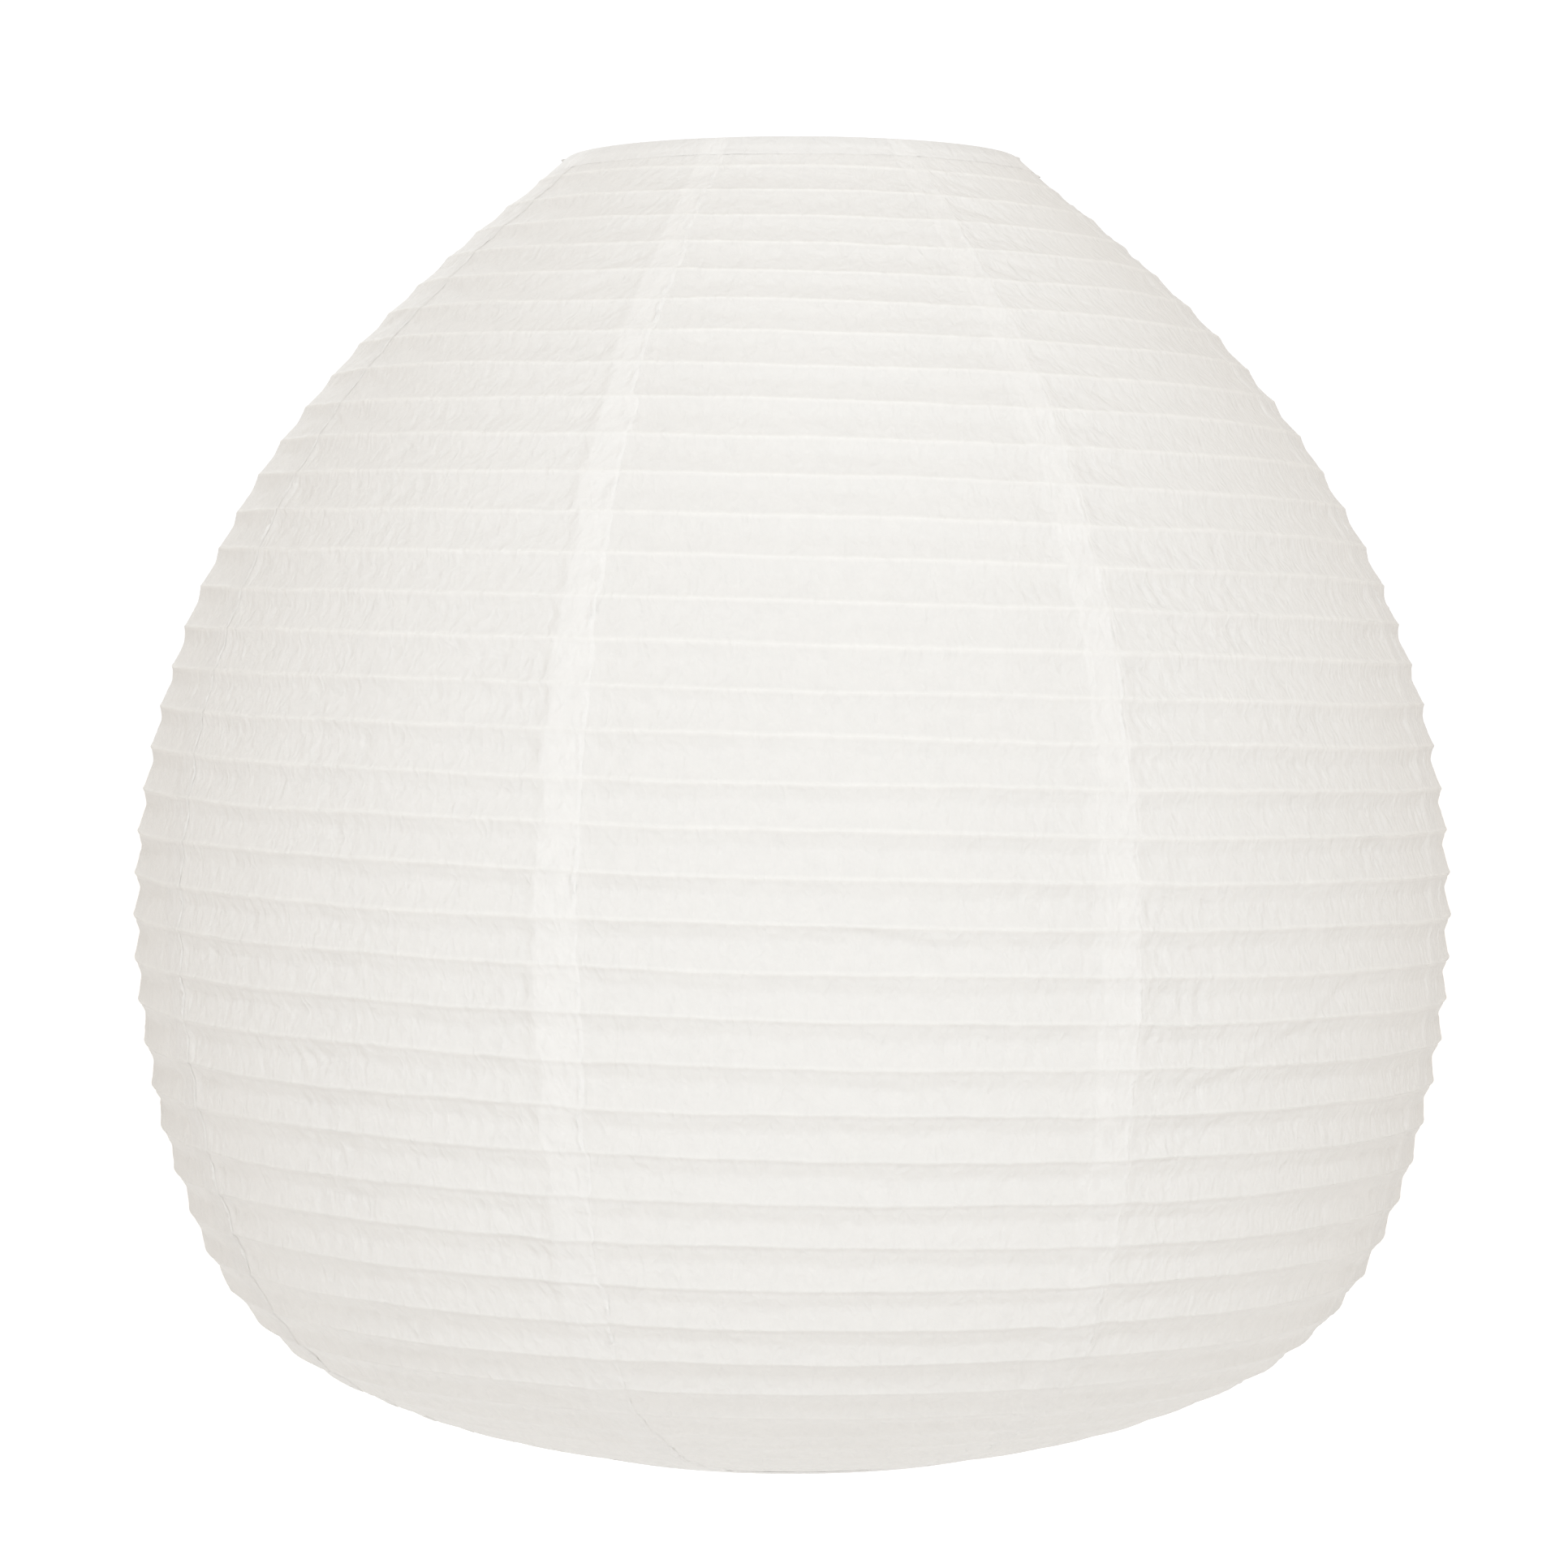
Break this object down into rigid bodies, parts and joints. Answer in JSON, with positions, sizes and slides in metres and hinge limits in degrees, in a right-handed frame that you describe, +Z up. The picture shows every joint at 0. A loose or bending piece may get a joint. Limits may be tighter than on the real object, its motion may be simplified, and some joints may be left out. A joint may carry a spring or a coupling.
{
  "type": "paper lantern shade",
  "caption": "Hanging paper lantern shade: lapped rice-paper gores over a spiral wire rib, held open between two wire rings by a wire spreader.",
  "frame": {"origin": "middle of the lamp-holder hole in the spreader's plate, at half the plate's thickness", "axes": "+Z up, along the shade's axis; -Y is the front, the side that faces the camera; +X is to the right"},
  "size_m": [0.5998, 0.5998, 0.5906],
  "materials": {
    "paper": "thin white rice paper, matt and translucent, creased between the ribs",
    "tape": "double white rice paper, matt",
    "ring_wire": "zinc-plated steel wire",
    "rib_wire": "thin white-lacquered steel wire",
    "spreader": "satin white powder coat"
  },
  "bodies": {
    "spreader": {"holder_plate": "spreader", "left_arm": "spreader", "right_arm": "spreader"},
    "left_leg": {"left_leg": "spreader", "left_foot": "spreader"},
    "right_leg": {"right_leg": "spreader", "right_foot": "spreader"},
    "shade": {"top_ring": "ring_wire", "top_ring_ferrule": "ring_wire", "top_rim_tape": "tape", "spiral_rib": "rib_wire", "rib_top_patch": "tape", "gore_1": "paper", "gore_2": "paper", "gore_3": "paper", "gore_4": "paper", "gore_5": "paper", "gore_6": "paper", "gore_7": "paper", "gore_8": "paper"},
    "shade_bottom": {"bottom_ring": "ring_wire", "bottom_ring_ferrule": "ring_wire", "bottom_rim_tape": "tape", "rib_bottom_patch": "tape"}
  },
  "joints": [
    {"name": "shade_turn", "type": "hinge", "parent": "spreader", "child": "shade", "pos_m": [0, 0, 0], "axis": [0, 0, 1], "continuous": true},
    {"name": "fold_up", "type": "slide", "parent": "shade", "child": "shade_bottom", "axis": [0, 0, 1], "range_m": [0, 0.535], "deforming": ["gore_1", "gore_2", "gore_3", "gore_4", "gore_5", "gore_6", "gore_7", "gore_8", "spiral_rib"]},
    {"name": "left_leg_squeeze", "type": "hinge", "parent": "spreader", "child": "left_leg", "pos_m": [-0.0961, 0, 0.00227], "axis": [0, -1, 0], "range_deg": [0, 4], "stiffness_Nm_per_rad": 4.3, "springref_deg": -1.15},
    {"name": "right_leg_squeeze", "type": "hinge", "parent": "spreader", "child": "right_leg", "pos_m": [0.0961, 0, 0.00227], "axis": [0, 1, 0], "range_deg": [0, 4], "stiffness_Nm_per_rad": 4.3, "springref_deg": -1.15}
  ]
}
